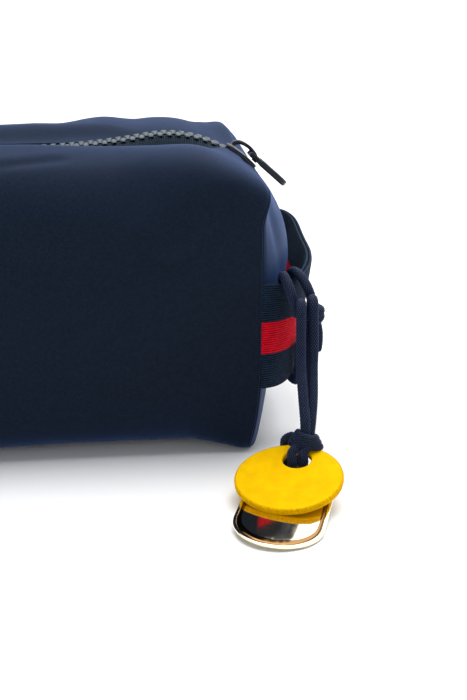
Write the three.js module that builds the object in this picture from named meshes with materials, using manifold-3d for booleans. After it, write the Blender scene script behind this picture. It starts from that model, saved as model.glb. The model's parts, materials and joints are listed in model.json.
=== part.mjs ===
// Boxy zip-top shaving kit bag: soft shell, lining, moulded-tooth zip, side strap,
// and a cord lanyard that carries a leather disc and a metal tag.
// Millimetres. +X runs along the bag, -Y is the front, +Z is up, z = 0 is the table.
import * as THREE from 'three';
import { mergeVertices } from 'three/addons/utils/BufferGeometryUtils.js';
import Module from 'manifold-3d';

// ---------------------------------------------------------------- driving dimensions
const BAG_LENGTH = 250;        // between the folds of the two ends
const BAG_DEPTH = 114;         // front to back
const BAG_HEIGHT = 105;        // table to the highest point of the zip line
const END_TOP = 94.7;          // height of the end folds' top edge
const END_ARC = 44;            // radius of the zip line where it rolls over an end
const END_REACH = 17;          // how far an end bulges past its folds
const FABRIC = 0.7;            // outer cloth
const LINING = 0.6;            // inner cloth
const GAP = 0.35;              // clearance between separate pieces
const LAYER_GAP = 0.8;         // clearance between curved layers of cloth and tape
const SLOT = 7;                // half width of the slot that the zip closes
const ZIP_ROLL = 10;           // degrees past the top where an end's zip arc eases into the long run
const ZIP_SAG = 5;             // how far the long run of the zip drops below the arcs
const FOLD_LEAN = 1.2;         // a fold line's place past the nominal length
const FOOT_TUCK = 5.7;         // how far a fold tucks in at the table
const FOOT_FADE = 12;          // height over which that tuck fades
const EAR_OUT = 3.6;           // how far the fold's top corner stands out
const EAR_HEIGHT = 14;
const END_FOOT = 3;            // how far an end's middle stands out at the table
const BINDING = 2.4;           // rolled tape over an inside seam
const BINDING_INSET = 6;

const SQUARE_TOP = [2.9, 8.5]; // squareness of the upper half section, mid bag and at a fold
const SQUARE_FOOT = [5, 11];   // and of the lower half

const TAPE = 0.5;              // zip tape thickness
const TAPE_REACH = 11.5;       // zip tape half width over all
const TOOTH_PITCH = 3.4;
const TOOTH_WIDTH = 1.9;
const TOOTH_HEIGHT = 3.0;
const CHAIN_HALF = 3.5;        // half width of the closed chain
const BEAD = 0.9;              // cord that the teeth of one side are moulded on
const CHANNEL = 0.7;           // half of the line that the slider's post runs in
const TAPE_CROWN = 0.0024;     // bow of the tape across the zip, per square millimetre

const SLIDER_LENGTH = 13.5;
const SLIDER_HALF_WIDTH = 4.9;
const SLIDER_PLATE = 1.1;
const SLIDER_TILT = 39;        // degrees down the end from the top of the arc
const CROWN_RISE = 3.4;
const CROWN_WIDTH = 2.6;
const CROWN_HALF = 5.6;        // half length of the arched crown at its feet
const CROWN_STOCK = 1.1;       // its thickness at the top
const CROWN_LEG = 1.7;         // and at a foot
const PULL_LENGTH = 17.5;
const PULL_WIDTH = 7.6;
const PULL_THICK = 1.9;
const PULL_DROOP = 3;          // degrees the pull hangs below the slider's own slope
const PIN_RADIUS = 0.55;
const PIN_PLACE = 2.4;         // the pull's pin, down the slider from its middle
const FORK_DEPTH = 4.4;
const FORK_LIP = 0.7;          // how far the fork reaches behind its pin

const STRAP_WIDTH = 38;
const STRAP_BOTTOM = 24;       // height of the strap's lower edge
const STRAP_THICK = 1.0;
const STRAP_TURN = 84;         // degrees each way from its middle to where it is sewn in
const STRAP_ROOT = 1.8;        // its sewn ends' place past the nominal length
const STRAP_BULGE_LOW = 20;    // how far the strap stands off the fold, lower edge
const STRAP_BULGE_HIGH = 26;   // and upper edge

const CORD = 3.6;
const RIM = 8.2;               // from a hole's centre to the plate's near edge
const DISC_RADIUS = 17.6;
const DISC_THICK = 2.2;
const DISC_HOLE = 4.8;
const DISC_TILT = 11.8;        // degrees up towards the hole
const DISC_TURN = -26;         // degrees round on the table, from straight forward
const TAG_LENGTH = 50.8;
const TAG_WIDTH = 28.6;
const TAG_THICK = 0.9;
const TAG_HOLE = 4.8;
const TAG_TILT = 5.2;
const TAG_TURN = -20;

// ---------------------------------------------------------------- derived places
const HALF_LENGTH = BAG_LENGTH / 2;
const HALF_DEPTH = BAG_DEPTH / 2;
const MID_HEIGHT = 44;                                   // where the section is widest
const ARC_Z = BAG_HEIGHT - END_ARC;
const ARC_X = HALF_LENGTH + END_REACH - END_ARC;
const TAPE_DEPTH = FABRIC + LAYER_GAP + TAPE / 2;              // tape's mid plane below the cloth's face
const LINING_DEPTH = FABRIC + TAPE + 2 * LAYER_GAP;
const TAPE_RADIUS = END_ARC - TAPE_DEPTH;
const deg = THREE.MathUtils.degToRad;
const V = (x, y, z) => new THREE.Vector3(x, y, z);
const ARC_START = ARC_X - END_ARC * Math.sin(deg(ZIP_ROLL));     // where the arc meets the long run
const wasm = await Module();
wasm.setup();

const COLOURS = {
  cloth: [0x1b2438, 0.62, 0], lining: [0x2a3550, 0.8, 0], tape: [0x1a2130, 0.85, 0],
  teeth: [0x3c4b57, 0.35, 0], slider: [0x182336, 0.35, 0], webbing: [0x1c2a44, 0.85, 0],
  cord: [0x232b52, 0.85, 0], leather: [0xffd000, 0.8, 0], gold: [0xd9b25c, 0.12, 1],
};
const bag = new THREE.Group();

function add(name, geometry, look, parent = bag) {
  const [color, roughness, metalness] = COLOURS[look];
  const mesh = new THREE.Mesh(geometry, new THREE.MeshStandardMaterial({ color, roughness, metalness }));
  mesh.name = name;
  parent.add(mesh);
  return mesh;
}

// ---------------------------------------------------------------- solid helpers
function toManifold(geometry) {
  let bare = geometry.clone();
  for (const key of Object.keys(bare.attributes)) if (key !== 'position') bare.deleteAttribute(key);
  bare = mergeVertices(bare, 1e-4);
  const mesh = new wasm.Mesh({
    numProp: 3,
    vertProperties: new Float32Array(bare.attributes.position.array),
    triVerts: new Uint32Array(bare.index.array),
  });
  return new wasm.Manifold(mesh);
}

function fromManifold(solid) {
  const mesh = solid.getMesh();
  const geometry = new THREE.BufferGeometry();
  geometry.setAttribute('position', new THREE.BufferAttribute(new Float32Array(mesh.vertProperties), 3));
  geometry.setIndex(new THREE.BufferAttribute(new Uint32Array(mesh.triVerts), 1));
  return geometry;
}

const join = (...parts) => fromManifold(parts.map(toManifold).reduce((a, b) => a.add(b)));

function cut(from, ...tools) {
  return fromManifold(tools.map(toManifold).reduce((a, b) => a.subtract(b), toManifold(from)));
}

function box(x0, x1, y0, y1, z0, z1) {
  const geometry = new THREE.BoxGeometry(x1 - x0, y1 - y0, z1 - z0);
  return geometry.translate((x0 + x1) / 2, (y0 + y1) / 2, (z0 + z1) / 2);
}

// A closed sheet on the surface point(u, v), between two depths below it.
function sheet(point, us, vs, depthOut, depthIn) {
  const step = 1e-4;
  const normalAt = (u, v) => {
    const du = point(u + step, v).sub(point(u - step, v));
    const dv = point(u, v + step).sub(point(u, v - step));
    return du.cross(dv).normalize();
  };
  const positions = [];
  const index = [];
  const rows = vs.length;
  for (const depth of [depthOut, depthIn]) {
    for (const u of us) {
      for (const v of vs) {
        const p = point(u, v).addScaledVector(normalAt(u, v), -depth);
        positions.push(p.x, p.y, p.z);
      }
    }
  }
  const layer = us.length * rows;
  const quad = (a, b, c, d) => index.push(a, b, c, a, c, d);
  for (let i = 0; i < us.length - 1; i++) {
    for (let j = 0; j < rows - 1; j++) {
      const a = i * rows + j;
      const b = a + rows;
      quad(a, b, b + 1, a + 1);
      quad(layer + a, layer + a + 1, layer + b + 1, layer + b);
    }
    const last = rows - 1;
    quad(i * rows, layer + i * rows, layer + (i + 1) * rows, (i + 1) * rows);
    quad(i * rows + last, (i + 1) * rows + last, layer + (i + 1) * rows + last, layer + i * rows + last);
  }
  for (let j = 0; j < rows - 1; j++) {
    const end = (us.length - 1) * rows + j;
    quad(j, j + 1, layer + j + 1, layer + j);
    quad(end, layer + end, layer + end + 1, end + 1);
  }
  const geometry = new THREE.BufferGeometry();
  geometry.setAttribute('position', new THREE.Float32BufferAttribute(positions, 3));
  geometry.setIndex(index);
  return geometry;
}

function range(from, to, count) {
  return Array.from({ length: count + 1 }, (_, i) => from + ((to - from) * i) / count);
}

// A round outline as a polygon, centred at (0, y), drawn onto a shape or a hole path.
function drawRound(path, radius, sides, y = 0) {
  for (let i = 0; i < sides; i++) {
    const angle = (2 * Math.PI * (i + 0.5)) / sides;
    const point = [radius * Math.cos(angle), y + radius * Math.sin(angle)];
    if (i === 0) path.moveTo(...point);
    else path.lineTo(...point);
  }
  return path;
}

function tube(points, diameter, steps, sides = 8) {
  const section = drawRound(new THREE.Shape(), diameter / 2, sides);
  const extrudePath = new THREE.CatmullRomCurve3(points);
  return new THREE.ExtrudeGeometry(section, { steps, bevelEnabled: false, extrudePath });
}

// ---------------------------------------------------------------- shape of the bag
const smooth = (t) => THREE.MathUtils.smoothstep(t, 0, 1);

// Height of the zip line above a place along the bag.
function zipHeight(x) {
  const distance = Math.abs(x);
  if (distance >= ARC_START) return ARC_Z + Math.sqrt(Math.max(0, END_ARC ** 2 - (distance - ARC_X) ** 2));
  const startHeight = ARC_Z + END_ARC * Math.cos(deg(ZIP_ROLL));
  const slope = Math.tan(deg(ZIP_ROLL));
  return startHeight - ZIP_SAG * (1 - Math.exp((-slope * (ARC_START - distance)) / ZIP_SAG));
}

// Where an end's fold line stands at a height: it leans out at the top and tucks in at the foot.
function foldX(z) {
  const ear = EAR_OUT * smooth((z - END_TOP + EAR_HEIGHT) / EAR_HEIGHT);
  return HALF_LENGTH + FOLD_LEAN - FOOT_TUCK * Math.exp(-z / FOOT_FADE) + ear;
}

// The bulged end wall, between and including its two fold lines.
function endX(y, z) {
  const rise = Math.min(1, Math.max(0, z / ARC_Z));
  const middle = z >= ARC_Z
    ? ARC_X + Math.sqrt(Math.max(0, END_ARC ** 2 - (z - ARC_Z) ** 2))
    : HALF_LENGTH + END_FOOT + (END_REACH - END_FOOT) * rise ** 0.85;
  const across = Math.max(0, 1 - Math.abs(y / HALF_DEPTH) ** 2.2);
  return foldX(z) + (middle - foldX(z)) * across;
}

// Cross-section of the bag at a share of the way from its middle to a fold.
function section(share, angle) {
  const e = smooth((Math.abs(share) - 0.55) / 0.45);
  const up = Math.sin(angle) >= 0;
  const power = THREE.MathUtils.lerp(...(up ? SQUARE_TOP : SQUARE_FOOT), e);
  const reach = up ? zipHeight(Math.abs(share) * (HALF_LENGTH + 1.3)) - MID_HEIGHT : MID_HEIGHT;
  const c = Math.abs(Math.cos(angle) / HALF_DEPTH) ** power;
  const s = Math.abs(Math.sin(angle) / reach) ** power;
  const radius = (c + s) ** (-1 / power);
  let z = MID_HEIGHT + radius * Math.sin(angle);
  if (!up) z = Math.max(0, z - 0.3 * (1 - z / MID_HEIGHT));
  return [radius * Math.cos(angle), z];
}

function bodyPoint(share, angle) {
  const [y, z] = section(share, angle);
  const [foldY, foldZ] = section(1, angle);
  return V(share * endX(foldY, foldZ), y, z);
}

// Half width of the fold's section at a height, less an inset all round.
function endPoint(side, across, z, inset) {
  const up = z >= MID_HEIGHT;
  const reach = up ? END_TOP - MID_HEIGHT : MID_HEIGHT;
  const power = up ? SQUARE_TOP[1] : SQUARE_FOOT[1];
  const rise = Math.min(1, Math.abs(z - MID_HEIGHT) / reach);
  const half = HALF_DEPTH * (1 - rise ** power) ** (1 / power) - inset;
  const y = across * half;
  return V(side * endX(y, z), side * y, z);
}

const topEdge = Math.atan(SLOT / (END_TOP - MID_HEIGHT));
const BASE_ANGLE = deg(40);                    // base panel spans this much either side of straight down
const seamGap = GAP / MID_HEIGHT;
const RIGHT_SHARES = [0.35, 0.6, 0.7, 0.78, 0.84, 0.89, 0.93, 0.965, 1];
const ALONG = [...RIGHT_SHARES.map((share) => -share).reverse(), 0, ...RIGHT_SHARES];
const LINING_ALONG = ALONG.slice(1, -1);

// Directions round the back wall's section, closest together at its two corners.
function wallAngles() {
  const low = -Math.atan(MID_HEIGHT / HALF_DEPTH);
  const high = Math.atan((END_TOP - MID_HEIGHT) / HALF_DEPTH);
  const start = BASE_ANGLE - Math.PI / 2 + seamGap;
  const end = Math.PI / 2 - topEdge;
  const near = (corner, ...steps) => steps.map((step) => corner + deg(step));
  return [start, ...near(low, -4, 1, 7, 17), deg(2), ...near(high, -20, -9, -4, 0, 4, 10, 20, 31), end];
}

function wallPanel(back, along, depthOut, depthIn) {
  const angles = back ? wallAngles() : wallAngles().map((angle) => Math.PI - angle).reverse();
  return sheet((angle, share) => bodyPoint(share, angle), angles, along, depthOut, depthIn);
}

function basePanel(along, depthOut, depthIn) {
  const angles = range(-Math.PI / 2 - BASE_ANGLE + seamGap, -Math.PI / 2 + BASE_ANGLE - seamGap, 6);
  return sheet((angle, share) => bodyPoint(share, angle), angles, along, depthOut, depthIn);
}

// One end wall, notched for the zip that runs down to its middle.
function endPanel(side, depthOut, depthIn, inset) {
  const [foot, head] = [inset + 0.2, END_TOP - inset - 0.2];
  const rises = [0, 0.03, 0.1, 0.25, 0.42, 0.58, 0.72, 0.83, 0.91, 0.965, 1];
  const heights = rises.map((rise) => foot + (head - foot) * rise);
  const wall = sheet((u, v) => endPoint(side, u, v, inset), range(-1, 1, 8), heights, depthOut, depthIn);
  const x0 = side > 0 ? ARC_X : -HALF_LENGTH - END_REACH - 9;
  const notch = box(x0, x0 + END_ARC + 9, -SLOT, SLOT, ARC_Z + 1, BAG_HEIGHT + 9);
  return cut(wall, notch);
}

for (const [name, back] of [['front', false], ['back', true]]) {
  add(`outer_${name}_panel`, wallPanel(back, ALONG, 0, FABRIC), 'cloth');
  const lining = wallPanel(back, LINING_ALONG, LINING_DEPTH, LINING_DEPTH + LINING);
  add(`lining_${name}_panel`, lining, 'lining');
}
add('outer_base_panel', basePanel(ALONG, 0, FABRIC), 'cloth');
add('lining_base_panel', basePanel(LINING_ALONG, LINING_DEPTH, LINING_DEPTH + LINING), 'lining');
for (const [name, side] of [['right', 1], ['left', -1]]) {
  add(`outer_${name}_end_panel`, endPanel(side, 0, FABRIC, FABRIC + LAYER_GAP + 0.2), 'cloth');
  const inset = LINING_DEPTH + LINING + LAYER_GAP;
  add(`lining_${name}_end_panel`, endPanel(side, LINING_DEPTH, LINING_DEPTH + LINING, inset), 'lining');
  for (const [edge, way] of [['front', -1], ['back', 1]]) {
    const place = (z) => V(side * (foldX(z) - BINDING_INSET), way * (HALF_DEPTH - BINDING_INSET), z);
    add(`seam_binding_${name}_${edge}`, tube(range(9, END_TOP - 13, 4).map(place), BINDING, 5, 4), 'webbing');
  }
}

// ---------------------------------------------------------------- zip
// The zip line as a fine run of points, from the foot of the left end over to the right one.
const ZIP_END_TILT = 84;
function zipLine() {
  const right = [];
  for (let tilt = ZIP_END_TILT; tilt > -ZIP_ROLL; tilt -= 1) {
    right.push([ARC_X + END_ARC * Math.sin(deg(tilt)), ARC_Z + END_ARC * Math.cos(deg(tilt))]);
  }
  for (let x = ARC_START; x > 0.5; x -= 1) right.push([x, zipHeight(x)]);
  const left = right.map(([x, z]) => [-x, z]);
  return [...left, [0, zipHeight(0)], ...right.reverse()];
}
const line = zipLine();
const lengths = [0];
for (let i = 1; i < line.length; i++) {
  lengths.push(lengths[i - 1] + Math.hypot(line[i][0] - line[i - 1][0], line[i][1] - line[i - 1][1]));
}
const ZIP_LENGTH = lengths[lengths.length - 1];

// A point of the zip: distance along it, across it, and above its tape.
function zipPoint(along, across, above) {
  let i = 1;
  while (i < lengths.length - 1 && lengths[i] < along) i++;
  const t = (along - lengths[i - 1]) / (lengths[i] - lengths[i - 1]);
  const [x0, z0] = line[i - 1];
  const [x1, z1] = line[i];
  const run = Math.hypot(x1 - x0, z1 - z0);
  const [nx, nz] = [-(z1 - z0) / run, (x1 - x0) / run];
  const offset = above - TAPE_DEPTH - TAPE_CROWN * across * across;
  return V(x0 + (x1 - x0) * t + nx * offset, across, z0 + (z1 - z0) * t + nz * offset);
}

function zipTape(way) {
  const us = range(0.5, ZIP_LENGTH - 0.5, 64);
  const inner = CHAIN_HALF + BEAD + GAP;
  const across = way > 0 ? [inner, TAPE_REACH] : [-TAPE_REACH, -inner];
  return sheet((u, v) => zipPoint(u, v, TAPE / 2), us, across, 0, TAPE);
}

// One side's teeth on their bead: a comb swept along the zip line.
function zipTeeth(way, start) {
  const positions = [];
  const index = [];
  const rings = [];
  const ring = (along, inner) => {
    const outer = CHAIN_HALF + BEAD;
    const half = TOOTH_HEIGHT / 2;
    const corners = [[outer, half], [outer, -half], [inner, -half], [inner, half]];
    const base = positions.length / 3;
    for (const [across, above] of corners) {
      const p = zipPoint(along, way * across, above + TAPE_CROWN * across * across);
      positions.push(p.x, p.y, p.z);
    }
    rings.push(base);
  };
  const bead = CHAIN_HALF;
  const count = Math.floor((ZIP_LENGTH - 14 - start) / TOOTH_PITCH);
  for (let i = 0; i < count; i++) {
    const at = 6 + start + i * TOOTH_PITCH;
    if (i === 0) ring(at - 1, bead);
    ring(at, bead);
    ring(at, CHANNEL);
    ring(at + TOOTH_WIDTH, CHANNEL);
    ring(at + TOOTH_WIDTH, bead);
    if (i === count - 1) ring(at + TOOTH_WIDTH + 1, bead);
  }
  const flip = way > 0;
  const tri = (a, b, c) => (flip ? index.push(a, c, b) : index.push(a, b, c));
  for (let r = 0; r < rings.length - 1; r++) {
    const [a, b] = [rings[r], rings[r + 1]];
    for (let k = 0; k < 4; k++) {
      const n = (k + 1) % 4;
      tri(a + k, a + n, b + n);
      tri(a + k, b + n, b + k);
    }
  }
  const [first, last] = [rings[0], rings[rings.length - 1]];
  tri(first, first + 2, first + 1);
  tri(first, first + 3, first + 2);
  tri(last, last + 1, last + 2);
  tri(last, last + 2, last + 3);
  const geometry = new THREE.BufferGeometry();
  geometry.setAttribute('position', new THREE.Float32BufferAttribute(positions, 3));
  geometry.setIndex(index);
  return geometry;
}

function zipStop(from, to, y0, y1) {
  const top = TOOTH_HEIGHT / 2;
  const block = (u, v) => zipPoint(u, v, top + TAPE_CROWN * v * v);
  return sheet(block, [from, to], [y0, y1], 0, TOOTH_HEIGHT);
}

add('zipper_tape_front', zipTape(-1), 'tape');
add('zipper_tape_back', zipTape(1), 'tape');
add('zipper_teeth_front', zipTeeth(-1, 0), 'teeth');
add('zipper_teeth_back', zipTeeth(1, TOOTH_PITCH / 2), 'teeth');
add('zipper_bottom_stop', zipStop(1, 4.5, -CHAIN_HALF, CHAIN_HALF), 'teeth');
add('zipper_top_stop_front', zipStop(ZIP_LENGTH - 4.5, ZIP_LENGTH - 1, -CHAIN_HALF, -CHANNEL), 'teeth');
add('zipper_top_stop_back', zipStop(ZIP_LENGTH - 4.5, ZIP_LENGTH - 1, CHANNEL, CHAIN_HALF), 'teeth');

// ---------------------------------------------------------------- slider and pull
// An arc plate in the XZ plane round the end's arc centre, extruded across the zip.
function arcPlate(inner, outer, halfAngle, y0, y1, cuts = 6) {
  const shape = new THREE.Shape();
  const at = (radius, angle) => [radius * Math.sin(angle), radius * Math.cos(angle)];
  const angles = range(-halfAngle, halfAngle, cuts);
  angles.forEach((angle, i) => (i ? shape.lineTo(...at(outer, angle)) : shape.moveTo(...at(outer, angle))));
  [...angles].reverse().forEach((angle) => shape.lineTo(...at(inner, angle)));
  shape.closePath();
  const geometry = new THREE.ExtrudeGeometry(shape, { depth: y1 - y0, bevelEnabled: false });
  return geometry.rotateX(Math.PI / 2).translate(0, y1, 0);
}

const sliderTurn = new THREE.Group();
sliderTurn.position.set(ARC_X, 0, ARC_Z);
sliderTurn.rotation.y = deg(SLIDER_TILT);
bag.add(sliderTurn);

const toothTop = TAPE_RADIUS + TOOTH_HEIGHT / 2 + GAP;
const toothFoot = TAPE_RADIUS - TOOTH_HEIGHT / 2 - GAP;
const plateTop = toothTop + SLIDER_PLATE;
const halfAngle = SLIDER_LENGTH / 2 / END_ARC;
const upper = arcPlate(toothTop, plateTop, halfAngle, -SLIDER_HALF_WIDTH, SLIDER_HALF_WIDTH);
const lower = arcPlate(toothFoot - SLIDER_PLATE, toothFoot, halfAngle, -SLIDER_HALF_WIDTH, SLIDER_HALF_WIDTH);
const post = arcPlate(toothFoot - 0.2, toothTop + 0.2, halfAngle / 4, -CHANNEL + GAP, CHANNEL - GAP, 2);
add('zipper_slider', join(upper, lower, post), 'slider', sliderTurn);

// The crown: an arch over the slider that the pull hangs in.
const crownBase = plateTop + GAP;
const crownShape = new THREE.Shape();
const crownInner = CROWN_HALF - CROWN_LEG;
const crownUnder = CROWN_RISE - CROWN_STOCK;
crownShape.moveTo(-CROWN_HALF, 0);
crownShape.quadraticCurveTo(0.4 - CROWN_HALF, CROWN_RISE, 0, CROWN_RISE);
crownShape.quadraticCurveTo(CROWN_HALF - 0.4, CROWN_RISE, CROWN_HALF, 0);
crownShape.lineTo(crownInner, 0);
crownShape.quadraticCurveTo(crownInner - 0.2, crownUnder, 0, crownUnder);
crownShape.quadraticCurveTo(0.2 - crownInner, crownUnder, -crownInner, 0);
crownShape.closePath();
const crownCut = { depth: CROWN_WIDTH, bevelEnabled: false, curveSegments: 6 };
const crown = new THREE.ExtrudeGeometry(crownShape, crownCut);
crown.rotateX(Math.PI / 2).translate(0, CROWN_WIDTH / 2, crownBase + 0.12);
add('zipper_slider_crown', crown, 'slider', sliderTurn);

// The pull: a flat tab whose fork holds a bar that lies under the crown.
const pullTurn = new THREE.Group();
const pinHeight = crownBase + PIN_RADIUS + 0.45;
pullTurn.position.set(PIN_PLACE, 0, pinHeight);
pullTurn.rotation.y = deg(PULL_DROOP);
sliderTurn.add(pullTurn);
const tabShape = new THREE.Shape();
const half = PULL_WIDTH / 2;
const fork = CROWN_WIDTH / 2 + GAP;
tabShape.moveTo(-FORK_LIP, -half);
tabShape.lineTo(PULL_LENGTH - half, -half);
tabShape.absarc(PULL_LENGTH - half, 0, half, -Math.PI / 2, Math.PI / 2, false);
tabShape.lineTo(-FORK_LIP, half);
tabShape.lineTo(-FORK_LIP, fork);
tabShape.lineTo(FORK_DEPTH, fork);
tabShape.lineTo(FORK_DEPTH, -fork);
tabShape.lineTo(-FORK_LIP, -fork);
tabShape.closePath();
const tab = new THREE.ExtrudeGeometry(tabShape, { depth: PULL_THICK, bevelEnabled: false, curveSegments: 8 });
tab.translate(0, 0, -PIN_RADIUS);
const pin = new THREE.CylinderGeometry(PIN_RADIUS, PIN_RADIUS, PULL_WIDTH - 1, 8);
add('zipper_pull', join(tab, pin), 'slider', pullTurn);

// ---------------------------------------------------------------- strap on the right end
function strapPoint(turn, rise) {
  const bulge = STRAP_BULGE_LOW + (STRAP_BULGE_HIGH - STRAP_BULGE_LOW) * rise;
  const x = HALF_LENGTH + STRAP_ROOT + (bulge - STRAP_ROOT) * Math.cos(turn);
  return V(x, (HALF_DEPTH - 0.2) * Math.sin(turn), STRAP_BOTTOM + STRAP_WIDTH * rise);
}
const strapTurns = range(-deg(STRAP_TURN), deg(STRAP_TURN), 22);
for (const [name, depth] of [['outer', 0], ['inner', STRAP_THICK + GAP]]) {
  const layer = sheet(strapPoint, strapTurns, [0, 0.5, 1], depth, depth + STRAP_THICK);
  add(`strap_${name}_webbing`, layer, 'webbing');
}

// ---------------------------------------------------------------- lanyard
// Its places are measured from the foot of the front right fold.
const foldFoot = new THREE.Group();
foldFoot.position.set(HALF_LENGTH, -HALF_DEPTH, 0);
bag.add(foldFoot);

// Each loop goes over the strap's upper edge, down behind it, under it and up its face.
const HITCH_LOOPS = {
  cord_loop_front: [
    V(10.9, -2, 56.5), V(10.2, -1.8, 60.5), V(9.2, 0.2, 64), V(8.6, 3.5, 65.4), V(8.8, 7.2, 64.2),
    V(9.5, 10, 59), V(9.2, 10.8, 50), V(8.2, 11, 40), V(7.3, 11, 30), V(7, 10.6, 25), V(7.2, 9.2, 22.2),
    V(8.4, 6.4, 21.3), V(10.6, 3.6, 22.4), V(12, 2, 25.5), V(12.6, 0.6, 31), V(12.8, -0.2, 36),
  ],
  cord_loop_rear: [
    V(17.3, 1, 57.5), V(16.6, 1.6, 61.5), V(14.9, 5, 65), V(13.2, 9, 66.2), V(12.3, 13.2, 64.6),
    V(12.1, 15.6, 58), V(11.1, 15.8, 50), V(10.1, 15.8, 40), V(9, 15.8, 30), V(8.7, 15.4, 25.4),
    V(9.3, 14, 22.2), V(11.2, 11, 21.4), V(13.4, 8.4, 22.6), V(14.8, 7, 26), V(15.6, 5, 33),
    V(16.2, 3.6, 41),
  ],
};
for (const [name, points] of Object.entries(HITCH_LOOPS)) add(name, tube(points, CORD, 30), 'cord', foldFoot);

const STRANDS = {
  cord_strand_left: [
    V(13, -5.4, 53.8), V(12.4, -9, 46), V(11.8, -14.4, 37), V(11.6, -20.6, 29), V(11.4, -26.4, 22.6),
    V(11.1, -29.1, 19.9),
  ],
  cord_strand_right: [
    V(17, -3.6, 54.2), V(17.2, -7, 46), V(16.4, -12.6, 36), V(15.4, -18.6, 28), V(14.3, -23.6, 22.4),
    V(13.9, -25.6, 20.3),
  ],
  cord_strand_middle: [
    V(15, -2.4, 44), V(14.6, -7.4, 35), V(13, -14.6, 27.6), V(11.2, -20.8, 22), V(10.6, -23, 20.3),
  ],
};
for (const [name, points] of Object.entries(STRANDS)) add(name, tube(points, CORD, 9), 'cord', foldFoot);

function knot(rx, ry, rz, x, y, z) {
  return new THREE.SphereGeometry(1, 10, 7).scale(rx, ry, rz).translate(x, y, z);
}
add('upper_knot', knot(3.4, 3.6, 4.6, 19.6, 1.6, 50), 'cord', foldFoot);
const knotTail = [V(20.6, 0.6, 44.6), V(20.9, 0, 41), V(20.6, -0.6, 37.6)];
add('upper_knot_tail', tube(knotTail, CORD - 0.4, 3), 'cord', foldFoot);
add('lower_knot', knot(7, 3.8, 2.9, 11.3, -26.5, 15.6), 'cord', foldFoot);

// The eye: two turns of cord side by side, down through both holes and back up behind the rims.
const EYE_X = 8;
const EYE = [
  V(0, -29.2, 12.3), V(0, -30.4, 10.4), V(0, -31.2, 6), V(0, -30.2, 3), V(0, -27.2, 1.95), V(0, -22.6, 1.95),
  V(0, -19.6, 4.2), V(0, -18.7, 9), V(0, -18.9, 13),
];
for (const [name, shift] of [['cord_eye_left', -1.95], ['cord_eye_right', 1.95]]) {
  const points = EYE.map((p) => V(EYE_X + shift, p.y, p.z));
  add(name, tube(points, CORD - 0.3, 14), 'cord', foldFoot);
}

// ---------------------------------------------------------------- what hangs on the lanyard
// A flat plate with a hole at its origin, reaching towards -Y, turned on the table and tilted up to its hole.
function lyingPlate(name, outline, { hole, thick, look, place, turn, tilt }) {
  outline.holes.push(drawRound(new THREE.Path(), hole, 20));
  const settings = { depth: thick, bevelEnabled: false, curveSegments: 12 };
  const geometry = new THREE.ExtrudeGeometry(outline, settings);
  const mesh = add(name, geometry, look, foldFoot);
  mesh.position.copy(place);
  mesh.rotation.order = 'ZXY';
  mesh.rotation.set(deg(tilt), 0, deg(turn));
}

const discOutline = drawRound(new THREE.Shape(), DISC_RADIUS, 40, RIM - DISC_RADIUS);
const discPlace = V(8.2, -30.5, 8.8);
lyingPlate('leather_disc', discOutline, {
  hole: DISC_HOLE, thick: DISC_THICK, look: 'leather', place: discPlace, turn: DISC_TURN, tilt: DISC_TILT,
});

// An oblong with half-round ends, as dog tags are.
const tagOutline = new THREE.Shape();
const tagRound = TAG_WIDTH / 2;
const tagFoot = RIM - TAG_LENGTH + tagRound;
tagOutline.absarc(0, RIM - tagRound, tagRound, 0, Math.PI, false);
tagOutline.absarc(0, tagFoot, tagRound, Math.PI, 2 * Math.PI, false);
const tagPlace = V(7.6, -31.5, 4);
lyingPlate('metal_tag', tagOutline, {
  hole: TAG_HOLE, thick: TAG_THICK, look: 'gold', place: tagPlace, turn: TAG_TURN, tilt: TAG_TILT,
});

export default bag;
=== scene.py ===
"""Boxy zip-top shaving kit bag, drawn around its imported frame. Lengths are in millimetres."""
import json
import math
import bmesh
import bpy
import numpy as np
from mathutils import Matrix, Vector


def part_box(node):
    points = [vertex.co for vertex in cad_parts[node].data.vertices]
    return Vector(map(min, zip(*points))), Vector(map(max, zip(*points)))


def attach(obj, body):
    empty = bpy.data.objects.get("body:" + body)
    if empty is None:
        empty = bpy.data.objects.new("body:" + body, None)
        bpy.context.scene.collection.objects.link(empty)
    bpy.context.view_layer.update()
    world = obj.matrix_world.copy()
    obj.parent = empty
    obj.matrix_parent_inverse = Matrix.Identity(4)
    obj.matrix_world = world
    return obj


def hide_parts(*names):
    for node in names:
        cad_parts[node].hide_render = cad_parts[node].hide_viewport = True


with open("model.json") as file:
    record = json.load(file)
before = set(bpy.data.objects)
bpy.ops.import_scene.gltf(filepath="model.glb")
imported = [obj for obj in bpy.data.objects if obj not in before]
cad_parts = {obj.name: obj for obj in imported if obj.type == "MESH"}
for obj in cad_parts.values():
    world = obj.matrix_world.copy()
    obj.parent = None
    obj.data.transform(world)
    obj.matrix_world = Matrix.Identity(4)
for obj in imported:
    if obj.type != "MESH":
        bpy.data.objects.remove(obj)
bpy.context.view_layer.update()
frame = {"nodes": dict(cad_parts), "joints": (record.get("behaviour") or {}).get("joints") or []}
MM = 0.001

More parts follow.
